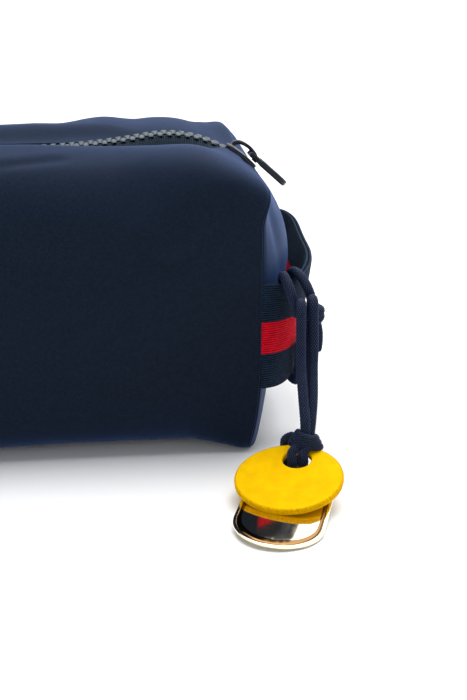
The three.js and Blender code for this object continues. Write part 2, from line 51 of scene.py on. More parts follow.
# ---- sizes
panel_low, panel_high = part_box("outer_front_panel")
HALF_DEPTH = -panel_low[1] / MM
BAG_HEIGHT = panel_high[2] / MM
HALF_LENGTH = 125.0
END_TOP = 94.7  # height of the end folds' top edge
END_ARC = 44.0  # radius of the zip line where it rolls over an end
END_REACH = 17.0  # how far an end bulges past its folds, and at the table
END_FOOT = 3.0
MID_HEIGHT = 44.0  # where a section is widest
ARC_X = HALF_LENGTH + END_REACH - END_ARC
ARC_Z = BAG_HEIGHT - END_ARC
NOTCH_FOOT = ARC_Z + 1  # where an end's notch for the zip stops
ZIP_ROLL = math.radians(10)  # slope of the zip's run where it leaves that arc
ZIP_SAG = 5.0  # how far the run dips towards mid bag
ARC_START = ARC_X - END_ARC * math.sin(ZIP_ROLL)
FOLD_LEAN = 1.2  # a fold's place past the nominal length
FOOT_TUCK = 5.7  # how far it tucks in at the table, and the height over which that fades
FOOT_FADE = 12.0
EAR_OUT = 3.6  # how far its top corner stands out, and over what height
EAR_HEIGHT = 14.0
BACK_EAR_IN = 4.0  # how far the back one stands in from there
BACK_PERK = 4.6  # how much higher the back corners stand
FRONT_TOP_POWER = 8.5  # squareness of a section's corners, at a fold and mid bag
BACK_TOP_POWER = 20.0
FOLD_FOOT_POWER = 17.0
FRONT_MID_POWER = 2.9
BACK_MID_POWER = 3.6
MID_FOOT_POWER = 5.6
BASE_SINK = 0.3  # how far the lowest cloth sinks, which lays the base flat
BACK_SUNK = 2.1  # how far the back cloth sinks where the zip is highest
CROWN_LIMIT = 5.2  # how far the cloth may crown beside a low stretch of the zip
LIP_LEVEL = 100.0  # the cloth beside the zip sinks towards this height, by LIP_DROP at most
LIP_DROP = 5.2
LIP_GAPE = 4.0  # how far the front lip stands away from the zip there
SLOT = 7.0  # half width of the slot that the zip closes
FABRIC = 0.7
LINING = 0.6
LINING_INSET = 1.6
BEVEL = 0.22
TAPE = 0.5
TAPE_DEPTH = 1.75  # how far the tape lies under the zip line
TAPE_CROWN = 0.0024  # bow of the tape across the zip, per square millimetre
TAPE_REACH = 11.5
TOOTH_PITCH = 3.4
TOOTH_HEIGHT = 3.0
PLATE_HALF_LENGTH = 6.75  # the slider's plates and the arched crown on them
PLATE_HALF_WIDTH = 4.9
PLATE_THICK = 1.1
CROWN_HALF = 4.75
CROWN_RISE = 2.75
SLIDER_TILT = math.radians(39)
PULL_TILT = math.radians(42)
PULL_LENGTH = 17.5
PULL_WIDTH = 7.6
PULL_TOP = 1.5  # its faces above and below its pin
PULL_FOOT = -0.7
PULL_RIM = 0.65  # half width of its raised rim
PULL_PANEL = 5.2  # where the rim starts
FORK_DEPTH = 4.4
FORK_HALF = 1.65
FORK_LIP = 0.7
PIN_RADIUS = 0.55
STRAP_WIDTH = 38.0
STRAP_BOTTOM = 24.0
STRAP_TURN = math.radians(89.8)  # it sweeps this far to each side
STRAP_ROOT = 0.4  # how far it stands off the bag's length at its ends
STRAP_BULGE = 20.0  # and mid strap, where its upper edge stands a flare further out
STRAP_FLARE = 6.0
STRAP_CLIMB = 4.5  # how much higher its back half runs
WEBBING = 1.0
LAYER_GAP = 0.35
RIB = 0.82  # pitch of its ribs
SELVEDGE = 0.5
CORD = 3.4
BRAID_PITCH = 1.25
BRAID_COLUMNS = 6
CORD_SIDES = 60
COLLAR_PLACE = (11.9, -26.2, 15.6)  # places of the lanyard's pieces, from the fold's foot
SIDE_KNOT_PLACE = (18.9, 0.6, 50)
DISC_PLACE = (8.2, -30.5, 8.8)
TAG_PLACE = (7.6, -31.5, 4.15)
HOLE = 4.8  # radius of the disc's and the tag's hole
RIM = 8.2  # from the hole's middle to their near edge
DISC_RADIUS = 17.6
DISC_THICK = 2.2
DISC_TURN = -26
DISC_TILT = 11.8
TAG_LENGTH = 50.8
TAG_WIDTH = 28.6
TAG_THICK = 0.9
TAG_TURN = -20
TAG_TILT = 4.2
TAG_ROLL = 0.06  # its slope to one side
BOW_RADIUS = 160.0  # the tag's faint bow across its width
PLATE_SIDES = 180
FOLD_FOOT = np.array((HALF_LENGTH, -HALF_DEPTH, 0.0))
TOP_EDGE = math.atan(SLOT / (END_TOP - MID_HEIGHT))  # section angles of the panels' edges
BASE_EDGE = math.radians(40)
ROUND = 2 * math.pi


def smooth(t):
    t = np.clip(t, 0.0, 1.0)
    return t * t * (3 - 2 * t)


def add_object(name, data):
    item = bpy.data.objects.new(name, data)
    bpy.context.collection.objects.link(item)
    return item


# ---- camera and light
def make_camera():
    data = bpy.data.cameras.new("camera")
    data.lens = 61.7
    data.sensor_width = 36
    data.clip_start = 0.02
    camera = add_object("camera", data)
    camera.location = (0.0687, -0.4416, 0.173)
    pitch, yaw = math.radians(19.1), math.radians(7.0)
    camera.rotation_euler = (math.pi / 2 - pitch, 0, -yaw)
    bpy.context.scene.camera = camera


def area_light(name, place, aim, size, power):
    data = bpy.data.lights.new(name, "AREA")
    data.shape = "RECTANGLE"
    data.size, data.size_y = size
    data.energy = power
    light = add_object(name, data)
    light.location = place
    light.rotation_euler = (Vector(aim) - Vector(place)).to_track_quat("-Z", "Y").to_euler()


def set_stops(node, stops):
    """Gives a colour ramp its (place, colour) stops."""
    elements = node.color_ramp.elements
    while len(elements) < len(stops):
        elements.new(0.5)
    for element, (place, colour) in zip(elements, stops):
        element.position = place
        element.color = (*colour, 1)


def make_studio():
    world = bpy.data.worlds.new("studio")
    world.use_nodes = True
    tree = world.node_tree
    direction = tree.nodes.new("ShaderNodeSeparateXYZ")
    tree.links.new(tree.nodes.new("ShaderNodeTexCoord").outputs["Generated"], direction.inputs[0])
    band = tree.nodes.new("ShaderNodeValToRGB")
    tree.links.new(direction.outputs["Z"], band.inputs[0])
    set_stops(band, ((0.42, (0.95, 0.97, 1)), (0.7, (0.12, 0.13, 0.15))))
    tree.links.new(band.outputs["Color"], tree.nodes["Background"].inputs["Color"])
    bpy.context.scene.world = world
    bpy.context.scene.view_settings.view_transform = "Standard"
    sky = bpy.data.lights.new("ceiling_glow", "SUN")
    sky.energy = 3.2
    sky.angle = math.radians(70)
    ceiling = add_object("ceiling_glow", sky)
    ceiling.rotation_euler = (math.radians(-22), math.radians(8), 0)
    area_light("top_softbox", (0.1, 0.1, 0.8), (0.05, 0, 0.05), (0.7, 0.5), 3)
    mesh = bpy.data.meshes.new("floor")
    reach = 4.0
    corners = [(-reach, -reach, 0), (reach, -reach, 0), (reach, reach, 0), (-reach, reach, 0)]
    mesh.from_pydata(corners, [], [(0, 1, 2, 3)])
    floor = add_object("floor", mesh)
    paper, _ = new_material("floor_paper", (0.95, 0.95, 0.95), 0.8)
    floor.data.materials.append(paper)


# ---- material helpers
class Nodes:
    """Short names for the node kinds that the materials share."""

    def __init__(self, tree):
        self.tree = tree
        self.shader = tree.nodes["Principled BSDF"]

    def put(self, socket, item):
        if isinstance(item, bpy.types.NodeSocket):
            self.tree.links.new(item, socket)
        else:
            socket.default_value = item

    def new(self, kind, sockets=None, **settings):
        """Adds a node, and feeds its sockets with links or plain values."""
        node = self.tree.nodes.new("ShaderNode" + kind)
        for key, value in settings.items():
            setattr(node, key, value)
        for key, item in (sockets or {}).items():
            self.put(node.inputs[key], item)
        return node

    def math(self, operation, *items):
        return self.new("Math", dict(enumerate(items)), operation=operation).outputs[0]

    def plus(self, a, b):
        return self.math("ADD", a, b)

    def times(self, a, b):
        return self.math("MULTIPLY", a, b)

    def place(self):
        """The point on the piece, in millimetres."""
        point = self.new("TexCoord").outputs["Object"]
        return self.new("VectorMath", {0: point, "Scale": 1 / MM}, operation="SCALE").outputs[0]

    def uv(self):
        """The piece's own surface coordinates: millimetres along and across the cloth or cord."""
        node = self.new("SeparateXYZ", {0: self.new("TexCoord").outputs["UV"]})
        return node.outputs[0], node.outputs[1]

    def noise(self, scale, detail=3.0, vector=None, rough=0.5):
        sockets = {"Vector": vector or self.place(), "Scale": scale, "Detail": detail, "Roughness": rough}
        return self.new("TexNoise", sockets).outputs["Fac"]

    def wave(self, along, pitch):
        return self.math("SINE", self.times(along, ROUND / pitch))

    def steps(self, factor, *stops):
        node = self.new("ValToRGB", {0: factor})
        set_stops(node, stops)
        return node.outputs["Color"]

    def mix(self, factor, *pair):
        a, b = ((*item, 1) if isinstance(item, tuple) else item for item in pair)
        return self.new("Mix", {0: factor, 6: a, 7: b}, data_type="RGBA").outputs[2]

    def bump(self, height, distance, strength=1.0):
        node = self.new("Bump", {"Height": height, "Strength": strength, "Distance": distance * MM})
        self.put(self.shader.inputs["Normal"], node.outputs[0])

    def colour(self, item):
        self.put(self.shader.inputs["Base Color"], item)

    def rough(self, noise, low, high):
        node = self.new("MapRange", {"Value": noise, "To Min": low, "To Max": high})
        self.put(self.shader.inputs["Roughness"], node.outputs[0])


def new_material(name, colour, roughness, metallic=0.0, **extra):
    material = bpy.data.materials.new(name)
    material.use_nodes = True
    nodes = Nodes(material.node_tree)
    given = {"Base Color": (*colour, 1), "Roughness": roughness, "Metallic": metallic}
    given.update({key.replace("_", " "): value for key, value in extra.items()})
    for key, value in given.items():
        nodes.shader.inputs[key].default_value = value
    return material, nodes


def nylon(name, dark, light):
    """Close plain-woven nylon with a soft satin face."""
    material, n = new_material(name, dark, 0.5, Sheen_Weight=0.26, Sheen_Roughness=0.5,
                               Sheen_Tint=(0.2, 0.38, 1.0, 1), Specular_IOR_Level=0.025,
                               Specular_Tint=(0.5, 0.7, 1.0, 1))
    along, across = n.uv()
    weave = n.times(n.wave(along, 0.9), n.wave(across, 0.9))
    tone = n.plus(n.times(weave, 0.4), n.noise(0.9, 3))
    n.colour(n.steps(tone, (0.1, dark), (1.1, light)))
    n.rough(n.noise(0.08, 2), 0.42, 0.56)
    height = n.plus(n.times(weave, 0.5), n.noise(2.2, 2))
    n.bump(height, 0.05, 0.55)
    return material


def twill_tape(name, dark, light):
    """Zip tape: fine lengthwise ribs crossed by a close weft."""
    material, n = new_material(name, dark, 0.8, Sheen_Weight=0.03, Sheen_Roughness=0.5,
                               Specular_IOR_Level=0.1)
    along, across = n.uv()
    weave = n.times(n.wave(n.plus(along, across), 0.9), n.wave(across, 1.1))
    n.colour(n.steps(n.plus(weave, n.noise(1.0)), (0.0, dark), (1.2, light)))
    n.bump(weave, 0.09, 0.8)
    return material


def webbing(name, low, high):
    """Striped webbing: ribs run its length, with a red band between two shares of its width."""
    material, n = new_material(name, (0.02, 0.035, 0.075), 0.75, Sheen_Weight=0.03, Sheen_Roughness=0.45,
                               Specular_IOR_Level=0.06)
    along, across = n.uv()
    rib = n.wave(across, RIB)
    shift = n.times(n.math("ROUND", n.math("DIVIDE", across, RIB)), 0.31)
    cross = n.wave(n.plus(along, shift), 0.62)
    weave = n.plus(n.times(rib, 0.6), n.times(cross, 0.4))
    shade = n.plus(n.times(weave, 0.5), n.noise(0.6))
    navy = n.steps(shade, (0.15, (0.0012, 0.004, 0.01)), (0.95, (0.014, 0.032, 0.064)))
    red = n.steps(shade, (0.15, (0.34, 0.0, 0.007)), (0.95, (0.8, 0.005, 0.024)))
    ragged = n.plus(across, n.times(cross, 0.12))
    inside = n.times(n.math("GREATER_THAN", ragged, low * STRAP_WIDTH),
                    n.math("LESS_THAN", ragged, high * STRAP_WIDTH))
    n.colour(n.mix(inside, navy, red))
    n.bump(weave, 0.12, 0.9)
    return material


def paracord(name):
    """Braided cord: its colour is painted lighter on the sleeve's grains as painted highlight, and darker in
    the valleys between them as painted shade.
    """
    material, n = new_material(name, (0.01, 0.014, 0.04), 0.5, Sheen_Weight=0.06, Sheen_Roughness=0.4,
                               Sheen_Tint=(0.4, 0.5, 1.0, 1), Specular_IOR_Level=0.15)
    along, turn = n.uv()
    row = n.math("DIVIDE", along, 2 * BRAID_PITCH)
    column = n.times(turn, BRAID_COLUMNS)
    left = n.wave(n.plus(column, row), 1)
    right = n.wave(n.math("SUBTRACT", column, row), 1)
    grain = n.math("ABSOLUTE", n.times(left, right))
    thread = n.wave(n.plus(along, n.times(turn, 7)), 0.22)
    # Painted light: grain tops get a painted highlight and the valleys between grains a near-black painted
    # shade.
    tone = n.plus(n.times(grain, 0.75), n.times(n.noise(1.2), 0.35))
    n.colour(n.steps(tone, (0.2, (0.001, 0.0018, 0.005)), (0.55, (0.006, 0.011, 0.032)),
                     (1.0, (0.045, 0.08, 0.19))))
    n.bump(n.plus(grain, n.times(thread, 0.12)), 0.3, 0.9)
    return material


def moulded(name, colour, roughness, coat):
    """Moulded or painted hard piece with a faint pebble and uneven gloss."""
    material, n = new_material(name, colour, roughness, Coat_Weight=coat, Coat_Roughness=0.12,
                               Specular_IOR_Level=0.25)
    bright = tuple(min(1.0, c * 1.35 + 0.004) for c in colour)
    n.colour(n.steps(n.noise(0.9, 4), (0.3, colour), (0.75, bright)))
    n.rough(n.noise(1.6, 3), roughness * 0.85, roughness * 1.2)
    n.bump(n.noise(6.0, 3), 0.02)
    return material


def leather(name):
    """Thick yellow leather, suede-like on its faces, with darker raw edges."""
    material, n = new_material(name, (0.9, 0.55, 0.0), 0.85, Specular_IOR_Level=0.04)
    mottle = n.noise(0.22, 4)
    face = n.steps(mottle, (0.3, (0.80, 0.455, 0.0)), (0.7, (0.93, 0.56, 0.0)))
    nap = n.noise(3.4, 5, rough=0.7)
    face = n.mix(n.times(nap, 0.3), face, (0.66, 0.31, 0.0))
    edge = n.math("GREATER_THAN", n.uv()[0], 0.5)
    fibre = n.steps(n.noise(1.8, 5), (0.3, (0.5, 0.24, 0.0)), (0.75, (0.9, 0.5, 0.0)))
    n.colour(n.mix(edge, face, fibre))
    n.bump(n.plus(nap, n.times(n.noise(0.9, 3), 0.8)), 0.16, 0.7)
    return material


def polished_gold(name):
    """Mirror-polished plate with faint rubbed scratches; its engraved line is dark."""
    material, n = new_material(name, (0.97, 0.87, 0.64), 0.07, metallic=1.0)
    groove = n.math("GREATER_THAN", n.uv()[0], 0.5)
    n.colour(n.mix(groove, (0.97, 0.87, 0.64), (0.2, 0.11, 0.04)))
    n.rough(n.noise(0.4, 4), 0.04, 0.12)
    stretch = n.new("Mapping", {"Vector": n.place(), "Scale": (6.0, 0.25, 1.0)})
    n.bump(n.noise(1.0, 4, vector=stretch.outputs[0]), 0.004, 0.5)
    return material


def inner_cloth(name, dark, light):
    """Lining or binding cloth: a close weave laid through space."""
    material, n = new_material(name, dark, 0.7, Sheen_Weight=0.2)
    x, y, z = n.new("SeparateXYZ", {0: n.place()}).outputs
    weave = n.times(n.wave(n.plus(x, y), 0.6), n.wave(n.plus(z, y), 0.6))
    tone = n.plus(n.times(weave, 0.15), n.noise(0.3, 4))
    n.colour(n.steps(tone, (0.3, dark), (0.75, light)))
    n.bump(n.plus(weave, n.noise(1.5, 3)), 0.08, 0.6)
    return material


# ---- mesh helpers
def add_mesh(name, points, faces, material, body, corner_uv=None):
    mesh = bpy.data.meshes.new(name)
    mesh.from_pydata((np.asarray(points) * MM).tolist(), [], faces)
    if corner_uv is not None:
        layer = mesh.uv_layers.new(name="UVMap")
        layer.data.foreach_set("uv", np.asarray(corner_uv, float).ravel())
    mesh.polygons.foreach_set("use_smooth", [True] * len(mesh.polygons))
    mesh.materials.append(material)
    piece = add_object(name, mesh)
    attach(piece, body)
    return piece


def settle(piece, node):
    """Hides the CAD node that a piece is drawn for."""
    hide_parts(node)


def grid_faces(count_u, count_v, loop_u=False, loop_v=False):
    """Quads of a grid of points, and each quad corner's two indexes."""
    rows = np.arange(count_u if loop_u else count_u - 1)[:, None]
    columns = np.arange(count_v if loop_v else count_v - 1)[None, :]
    corners = []
    for du, dv in ((0, 0), (1, 0), (1, 1), (0, 1)):
        corners.append(np.broadcast_arrays(rows + du, columns + dv))
    index = [(u % count_u) * count_v + v % count_v for u, v in corners]
    faces = np.stack(index, -1).reshape(-1, 4)
    corner_u = np.stack([u for u, _ in corners], -1).ravel()
    corner_v = np.stack([v for _, v in corners], -1).ravel()
    return faces, corner_u, corner_v


def end_caps(count_u, count_v):
    """The two faces that close a tube of count_u rings."""
    last = (count_u - 1) * count_v
    return [list(range(count_v))[::-1], list(range(last, last + count_v))]


def tube_faces(count_u, count_v):
    faces, _, _ = grid_faces(count_u, count_v, loop_v=True)
    return faces.tolist() + end_caps(count_u, count_v)


def grid(name, points, material, body, us, vs, loop_u=False, loop_v=False, caps=False):
    """A sheet or tube from a grid of points; us and vs are the surface coordinates of its lines."""
    count_u, count_v = points.shape[:2]
    faces, corner_u, corner_v = grid_faces(count_u, count_v, loop_u, loop_v)
    uv = np.stack((np.asarray(us)[corner_u], np.asarray(vs)[corner_v]), -1)
    faces = faces.tolist()
    if caps:
        faces += end_caps(count_u, count_v)
        uv = np.concatenate((uv, np.zeros((2 * count_v, 2))))
    return add_mesh(name, points.reshape(-1, 3), faces, material, body, uv)


def thicken(piece, thickness, bevel=0.0):
    solid = piece.modifiers.new("thickness", "SOLIDIFY")
    solid.thickness = thickness * MM
    solid.offset = -1
    if bevel:
        edge = piece.modifiers.new("edge", "BEVEL")
        edge.width = bevel * MM
        edge.segments = 2
        edge.limit_method = "ANGLE"
        edge.angle_limit = math.radians(50)


def arc_lengths(points):
    return np.concatenate(([0.0], np.cumsum(np.linalg.norm(np.diff(points, axis=0), axis=1))))


def spline(points, spacing):
    """A centripetal curve through the points, resampled to an even spacing."""
    points = np.asarray(points, float)
    ends = np.vstack((2 * points[0] - points[1], points, 2 * points[-1] - points[-2]))
    fine = []
    for a, b, c, d in zip(ends, ends[1:], ends[2:], ends[3:]):
        t = np.linspace(0, 1, 24, endpoint=False)[:, None]
        fine.append(b + 0.5 * t * (c - a + t * (2 * a - 5 * b + 4 * c - d + t * (3 * (b - c) + d - a))))
    fine = np.vstack((*fine, points[-1:]))
    lengths = arc_lengths(fine)
    count = max(4, int(round(lengths[-1] / spacing)) + 1)
    wanted = np.linspace(0, lengths[-1], count)
    return np.stack([np.interp(wanted, lengths, fine[:, k]) for k in range(3)], -1)


def frames(path):
    """Two directions square to each point of a path, with the least twist."""
    tangent = np.gradient(path, axis=0)
    tangent /= np.linalg.norm(tangent, axis=1)[:, None]
    side = np.cross(tangent[0], (0.3, 0.2, 0.93))
    sides = []
    for direction in tangent:
        side = side - direction * side.dot(direction)
        side /= np.linalg.norm(side)
        sides.append(side)
    sides = np.array(sides)
    return sides, np.cross(tangent, sides)


def braided(name, points, diameter, body, taper=0.0):
    """A braided tube along the points: staggered grains stand out of its surface."""
    path = spline(points, 0.24)
    lengths = arc_lengths(path)
    side, other = frames(path)
    turns = np.linspace(0, ROUND, CORD_SIDES, endpoint=False)
    u, v = np.meshgrid(turns, lengths)
    left = np.sin(BRAID_COLUMNS * u + math.pi * v / BRAID_PITCH)
    right = np.sin(BRAID_COLUMNS * u - math.pi * v / BRAID_PITCH)
    radius = diameter / 2 * (0.85 + 0.2 * np.abs(left * right))
    ends = np.minimum(lengths, lengths[-1] - lengths)[:, None]
    radius = radius * (1 - 0.35 * np.clip(1 - ends / 0.9, 0, 1) ** 2)
    radius = radius * (1 - taper * (v / lengths[-1]) ** 3)
    wide, flat = (radius * np.cos(u))[..., None], (radius * np.sin(u))[..., None]
    surface = path[:, None] + side[:, None] * wide + other[:, None] * flat
    across = np.linspace(0, 1, CORD_SIDES + 1)
    return grid(name, surface, CORD_LOOK, body, lengths, across, loop_v=True, caps=True), path


# ---- the bag's shape
def zip_height(x):
    x = np.abs(x)
    arc = ARC_Z + np.sqrt(np.maximum(0, END_ARC ** 2 - (x - ARC_X) ** 2))
    start = ARC_Z + END_ARC * math.cos(ZIP_ROLL)
    run = start - ZIP_SAG * (1 - np.exp(-math.tan(ZIP_ROLL) * (ARC_START - x) / ZIP_SAG))
    return np.where(x >= ARC_START, arc, run)


def fold_x(z):
    """How far out a front fold stands at a height."""
    ear = EAR_OUT * smooth((z - END_TOP + EAR_HEIGHT) / EAR_HEIGHT)
    return HALF_LENGTH + FOLD_LEAN - FOOT_TUCK * np.exp(-z / FOOT_FADE) + ear


def end_x(y, z):
    """How far out an end's cloth stands, from fold to fold."""
    rise = np.clip(z / ARC_Z, 0, 1)
    arc = ARC_X + np.sqrt(np.maximum(0, END_ARC ** 2 - (z - ARC_Z) ** 2))
    low = HALF_LENGTH + END_FOOT + (END_REACH - END_FOOT) * rise ** 0.85
    middle = np.where(z >= ARC_Z, arc, low)
    edge = fold_x(z) - BACK_EAR_IN * smooth((y - 16) / 32) * smooth((z - 58) / 38)
    fullness = 2.2 + 2.8 * np.exp(-z / FOOT_FADE)
    across = np.maximum(0, 1 - np.abs(y / HALF_DEPTH) ** fullness)
    return edge + (middle - edge) * across


def section(share, angle):
    """Half section at a share of the way to a fold. Its cloth crowns beside the zip."""
    far = np.abs(share)
    up, back = np.sin(angle) >= 0, np.cos(angle) > 0
    fold_power = np.where(back, BACK_TOP_POWER, FRONT_TOP_POWER)
    mid_power = np.where(back, BACK_MID_POWER, FRONT_MID_POWER)
    top_power = mid_power + (fold_power - mid_power) * smooth((far - np.where(back, 0.45, 0.6)) / 0.4)
    ramp = np.clip((far - 0.82) / 0.15, 0, 1)
    foot_power = 1 / (1 / MID_FOOT_POWER + (1 / FOLD_FOOT_POWER - 1 / MID_FOOT_POWER) * ramp)
    power = np.where(up, top_power, foot_power)
    reach = np.where(up, zip_height(far * (HALF_LENGTH + 1.3)) - MID_HEIGHT, MID_HEIGHT)
    zip_above = reach + MID_HEIGHT
    sunk = BACK_SUNK * smooth((far - 0.58) / 0.14) * (1 - smooth((far - 0.93) / 0.07))
    reach = reach - np.where(up & back, sunk, 0)
    c = np.abs(np.cos(angle) / HALF_DEPTH) ** power
    s = np.abs(np.sin(angle) / reach) ** power
    radius = (c + s) ** (-1 / power)
    y = radius * np.cos(angle)
    z = MID_HEIGHT + radius * np.sin(angle)
    beside = smooth((np.abs(y) - SLOT) / 15) * (1 - smooth((np.abs(y) - 36) / 21))
    low_zip = np.clip(BAG_HEIGHT + np.where(back, 0.7, 0.4) - zip_above, 0, CROWN_LIMIT)
    crown = low_zip * beside * smooth((z - MID_HEIGHT) / 40) * (1 - smooth((far - 0.76) / 0.14))
    return y, np.where(up, z + crown, lowered(z))


def lowered(z):
    """The lowest cloth sinks a little, so that the base lies flat on the table."""
    return np.maximum(0, z - BASE_SINK * (1 - z / MID_HEIGHT))


def perked(share, y, z):
    """The back corners of the ends stand higher than the front ones."""
    lift = BACK_PERK * smooth((y - 8) / 34) * smooth((z - 58) / 36) * smooth((np.abs(share) - 0.87) / 0.12)
    return z + lift


def body_point(share, angle):
    y, z = section(share, angle)
    fold_y, fold_z = section(np.ones_like(share), angle)
    return np.stack((share * end_x(fold_y, fold_z), y, perked(share, y, z)), -1)


def surface_normals(points):
    normal = np.cross(np.gradient(points, axis=0), np.gradient(points, axis=1))
    return normal / np.maximum(np.linalg.norm(normal, axis=-1), 1e-9)[..., None]


def crease(x, height, start, end, width, depth):
    """A soft dent with a shoulder, between two places given along the bag and round the cloth."""
    start, end = np.array(start, float), np.array(end, float)
    length = np.linalg.norm(end - start)
    run = (end - start) / length
    along = ((x - start[0]) * run[0] + (height - start[1]) * run[1]) / length
    off = (height - start[1]) * run[0] - (x - start[0]) * run[1]
    fade = smooth(along / 0.35 + 0.5) * smooth((1 - along) / 0.35 + 0.5)
    dent = np.exp(-(off / width) ** 2)
    shoulder = 0.55 * np.exp(-((off - 1.9 * width) / (1.3 * width)) ** 2)
    return depth * fade * (shoulder - dent)


# Each crease: its two ends (along the bag, up the cloth from its foot seam), width, depth.
FRONT_CREASES = [
    ((90, 82), (96, 80), 2.6, 0.5),
    ((82, 90), (92, 82), 2.4, 0.4),
    ((96, 80), (112, 93), 2.6, 0.55),
    ((100, 92), (118, 101), 3.2, 0.4),
    ((44, 91), (76, 88), 6.0, 0.5),
    ((38, 118), (62, 123), 2.4, 0.45),
    ((-100, 88), (-72, 104), 4.0, 0.6),
    ((-20, 100), (18, 106), 5.0, 0.5),
]
BACK_CREASES = [
    ((70, 100), (104, 116), 3.6, 0.15),
    ((-60, 104), (-98, 114), 3.8, 0.3),
    ((-10, 108), (30, 116), 5.0, 0.6),
]


def lip_drop(x):
    """How far the zip stands above the cloth's level beside it."""
    return np.clip(zip_height(x) - LIP_LEVEL, 0, LIP_DROP)


def near_zip(y, reach):
    return np.exp(-(np.maximum(np.abs(y) - SLOT, 0) / reach) ** 2)


def lip_dip(x, y):
    """How far the cloth sinks beside the zip, where the zip rises over an end's shoulder."""
    return near_zip(y, 14) * lip_drop(x)


def lip_gape(x, y):
    """How far the front lip stands away from the zip at the same place."""
    near = near_zip(y, 12) * (y < 0)
    return LIP_GAPE * near * smooth((np.abs(x) - 66) / 24) * (1 - smooth((np.abs(x) - 106) / 18))


def wrinkle(points, up, creases, reach):
    """Moves cloth along its normals: soft waves, creases, a groove at each fold, the lips of the zip."""
    x = points[..., 0]
    height = np.broadcast_to(up, x.shape)
    shift = 0.3 * np.sin(x / 17 + height / 23) * np.sin(height / 19 - x / 41 + 1.3)
    shift = shift + 0.12 * np.sin(x / 7.1 - height / 11 + 0.6) * np.sin(height / 8.3 + x / 13)
    for start, end, width, depth in creases:
        shift = shift + crease(x, height, start, end, width, depth)
    edge = np.minimum(height - up.min(), up.max() - height)
    shift = shift * smooth(edge / 7) * smooth((reach - np.abs(x)) / 14)
    seam = -0.45 * np.exp(-((np.abs(x) - reach) / 1.3) ** 2)
    high = smooth((points[..., 2] - MID_HEIGHT) / 30)
    dip = lip_dip(x, points[..., 1]) * high
    moved = points + surface_normals(points) * (shift + seam - dip)[..., None]
    moved[..., 1] -= lip_gape(x, points[..., 1]) * high
    return moved


def long_panel(place, first, last, creases, flip=1, inset=0.0):
    """Front, back or base: a run of section angles along the whole bag, evenly spaced round the cloth."""
    spread = math.radians(88)
    shares = flip * np.sin(np.linspace(-1, 1, 201) * spread) / math.sin(spread) * (1 - inset / 100)
    angles = np.linspace(first, last, 400)
    around = arc_lengths(np.stack(section(np.full_like(angles, 0.7), angles), -1))
    across = np.linspace(0, around[-1], 131)
    share, angle = np.meshgrid(shares, np.interp(across, around, angles), indexing="ij")
    points = body_point(share, angle)
    points = wrinkle(points, across, creases, np.abs(points[..., 0]).max(axis=0))
    points = points - inset * surface_normals(points)
    layer, look = cloth_layer(inset)
    piece = grid(f"{layer}_{place}_panel", points, look, "bag", shares * HALF_LENGTH, across)
    finish_panel(piece, place, inset)


def end_wall(place, side, inset=0.0):
    """One end, bulged between its folds, notched for the zip that runs down to its middle."""
    slot = SLOT / HALF_DEPTH
    notch = (NOTCH_FOOT - MID_HEIGHT) / (END_TOP - MID_HEIGHT)
    lines = np.sin(np.linspace(-1, 1, 121) * math.pi / 2)
    us = np.sort(np.concatenate((lines, (-slot, slot))))
    vs = np.sort(np.concatenate((lines, (notch,))))
    u, v = np.meshgrid(us, vs, indexing="ij")
    top_power = np.where(side * u > 0, BACK_TOP_POWER, FRONT_TOP_POWER)
    power = np.where(v >= 0, top_power, FOLD_FOOT_POWER)
    size = np.maximum(np.abs(u), np.abs(v))
    scale = size / np.maximum((np.abs(u) ** power + np.abs(v) ** power) ** (1 / power), 1e-9)
    y = HALF_DEPTH * u * scale
    z = MID_HEIGHT + np.where(v >= 0, END_TOP - MID_HEIGHT, MID_HEIGHT) * v * scale
    z = np.where(z < MID_HEIGHT, lowered(z), z)
    wave = 0.35 * np.sin(y / 9 + 1) * np.sin(z / 15 + y / 31)
    pinch = 0.9 * np.exp(-(((np.abs(y) - 40 - 0.16 * (z - 60)) / 5) ** 2)) * smooth((z - 50) / 30)
    seam = 0.7 * np.exp(-((1 - size) * HALF_DEPTH / 1.5) ** 2)
    calm = smooth((1 - size) / 0.1) * smooth((np.abs(u) - slot) / 0.12 + np.where(v < notch, 1, 0))
    x = end_x(side * y, z) + (wave - pinch) * calm - seam
    dip = lip_dip(x, y) * smooth((z - ARC_Z + 4) / 14)
    tilt = np.arctan2(x - ARC_X, z - ARC_Z)
    x, z = x - dip * np.sin(tilt), z - dip * np.cos(tilt)
    y, z = y * (1 - inset / 40), MID_HEIGHT + (z - MID_HEIGHT) * (1 - inset / 40)
    points = np.stack((side * x, side * y, perked(1.0, side * y, z)), -1)
    points = points - inset * surface_normals(points)
    faces, corner_u, corner_v = grid_faces(len(us), len(vs))
    uv = np.stack((y[corner_u, corner_v], z[corner_u, corner_v]), -1).reshape(-1, 4, 2)
    middle = uv.mean(axis=1)
    kept = ~((np.abs(middle[:, 0]) < SLOT) & (middle[:, 1] > NOTCH_FOOT))
    layer, look = cloth_layer(inset)
    faces = faces[kept].tolist()
    piece = add_mesh(f"{layer}_{place}_panel", points.reshape(-1, 3), faces, look, "bag", uv[kept])
    clean_mesh(piece)
    finish_panel(piece, place, inset)


def clean_mesh(piece):
    """Removes the points that no face uses."""
    work = bmesh.new()
    work.from_mesh(piece.data)
    loose = [v for v in work.verts if not v.link_faces]
    bmesh.ops.delete(work, geom=loose, context="VERTS")
    work.to_mesh(piece.data)
    work.free()


def cloth_layer(inset):
    """The name and look of the outer cloth, or of the lining that lies an inset inside it."""
    return ("lining_cloth", LINING_LOOK) if inset else ("cloth", CLOTH_LOOK)


def finish_panel(piece, place, inset):
    if inset:
        settle(piece, f"lining_{place}_panel")
    else:
        settle(piece, f"outer_{place}_panel")
    thicken(piece, LINING if inset else FABRIC, BEVEL)


